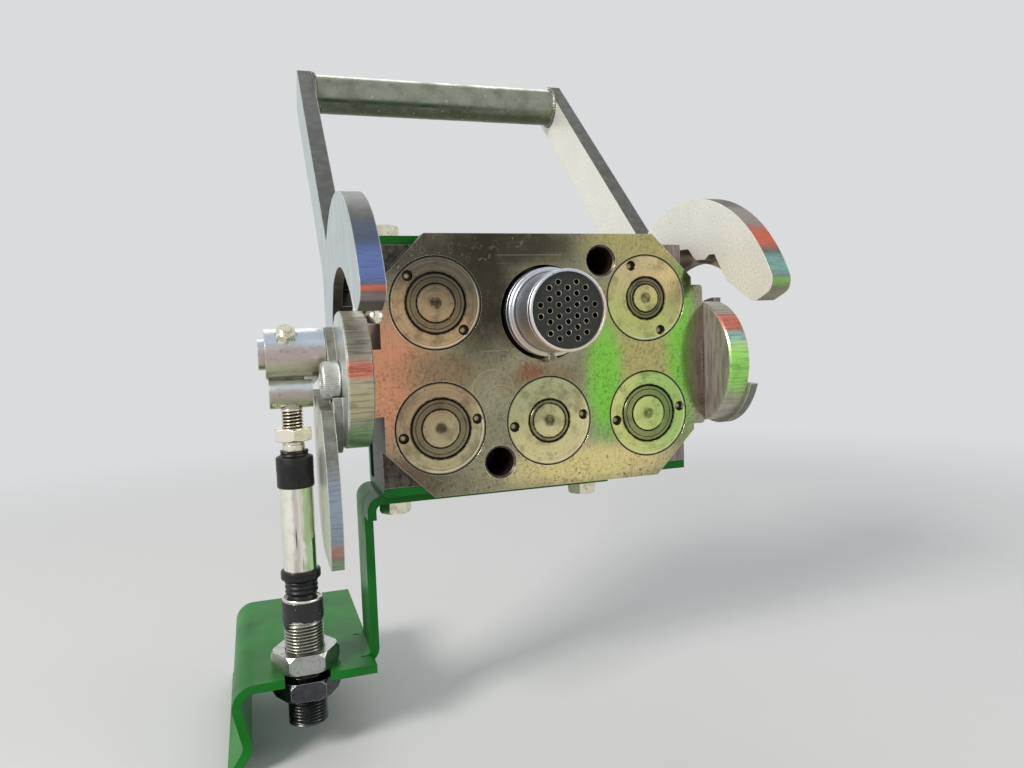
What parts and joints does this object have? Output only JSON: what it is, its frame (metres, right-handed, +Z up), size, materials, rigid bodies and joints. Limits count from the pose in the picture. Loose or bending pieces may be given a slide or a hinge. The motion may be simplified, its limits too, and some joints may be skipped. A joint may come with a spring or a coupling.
{
  "type": "hydraulic multi-coupler",
  "caption": "Fixed half of a single-lever hydraulic quick-connect plate: flat-face couplings, round multi-pin socket, cam hook lever and push-pull cable end on a bracket.",
  "frame": {"origin": "centre of the four-hole pattern in the rear face of the mounting bracket", "axes": "+X to the right seen from the front, +Y rearwards out of the mounting face, +Z up"},
  "size_m": [0.2543, 0.2725, 0.3685],
  "materials": {
    "plated_plate": "zinc plated, brushed",
    "bar_steel": "plain steel, spotted",
    "block_steel": "plated and polished, with dirt and a little rust",
    "cartridge_steel": "turned face",
    "sleeve_steel": "turned face",
    "disc_steel": "turned rim",
    "fastener_steel": "zinc plated",
    "connector_metal": "satin",
    "insert_black": "matt",
    "tube_polished": "polished",
    "rubber_black": "matt",
    "green_paint": "gloss paint"
  },
  "bodies": {
    "base": {"coupler_block": "block_steel", "mounting_bracket": "green_paint", "clamp_bolts": "fastener_steel", "port_adapters": "fastener_steel", "connector_shell": "connector_metal", "connector_insert": "insert_black", "pivot_screw_left": "fastener_steel", "pivot_screw_right": "fastener_steel", "cable_hub": "fastener_steel", "hub_nut": "fastener_steel", "lower_nut": "fastener_steel", "cable_bracket": "green_paint", "cartridge_a": "cartridge_steel", "cartridge_b": "cartridge_steel", "cartridge_c": "cartridge_steel", "cartridge_d": "cartridge_steel", "cartridge_e": "cartridge_steel"},
    "lever": {"lever_plate_left": "plated_plate", "lever_plate_right": "plated_plate", "handle_bar": "bar_steel", "hub_plate_left": "plated_plate", "hub_plate_right": "plated_plate", "hub_disc_left": "disc_steel", "hub_disc_right": "disc_steel", "tail_plate": "plated_plate"},
    "cable_tube": {"rod_seal": "rubber_black", "swivel_tube": "tube_polished", "rubber_boot": "rubber_black"},
    "cable_rod": {"cable_rod": "fastener_steel", "crank_pin": "fastener_steel", "rod_end_collar": "fastener_steel", "set_screw": "fastener_steel"},
    "sleeve_a": {"sleeve_a": "sleeve_steel"},
    "sleeve_b": {"sleeve_b": "sleeve_steel"},
    "sleeve_c": {"sleeve_c": "sleeve_steel"},
    "sleeve_d": {"sleeve_d": "sleeve_steel"},
    "sleeve_e": {"sleeve_e": "sleeve_steel"}
  },
  "joints": [
    {"name": "lever_pivot", "type": "hinge", "parent": "base", "child": "lever", "pos_m": [0, -0.0478, -0.0042], "axis": [1, 0, 0], "range_deg": [0, 85]},
    {"name": "tube_tilt", "type": "hinge", "parent": "base", "child": "cable_tube", "pos_m": [-0.1146, -0.0253, -0.10645], "axis": [1, 0, 0], "range_deg": [0, 14]},
    {"name": "rod_slide", "type": "slide", "parent": "cable_tube", "child": "cable_rod", "axis": [0, 0, 1], "range_m": [0, 0.019]},
    {"name": "sleeve_a_press", "type": "slide", "parent": "base", "child": "sleeve_a", "axis": [0, 1, 0], "range_m": [0, 0.009], "stiffness_N_per_m": 2000, "springref_m": -0.004},
    {"name": "sleeve_b_press", "type": "slide", "parent": "base", "child": "sleeve_b", "axis": [0, 1, 0], "range_m": [0, 0.009], "stiffness_N_per_m": 2000, "springref_m": -0.004},
    {"name": "sleeve_c_press", "type": "slide", "parent": "base", "child": "sleeve_c", "axis": [0, 1, 0], "range_m": [0, 0.009], "stiffness_N_per_m": 2000, "springref_m": -0.004},
    {"name": "sleeve_d_press", "type": "slide", "parent": "base", "child": "sleeve_d", "axis": [0, 1, 0], "range_m": [0, 0.009], "stiffness_N_per_m": 2000, "springref_m": -0.004},
    {"name": "sleeve_e_press", "type": "slide", "parent": "base", "child": "sleeve_e", "axis": [0, 1, 0], "range_m": [0, 0.009], "stiffness_N_per_m": 2000, "springref_m": -0.004}
  ],
  "couplings": [
    {"joint": "tube_tilt", "follows": "lever_pivot", "ratio": 0.16471},
    {"joint": "rod_slide", "follows": "lever_pivot", "m_per_rad": 0.012807}
  ]
}
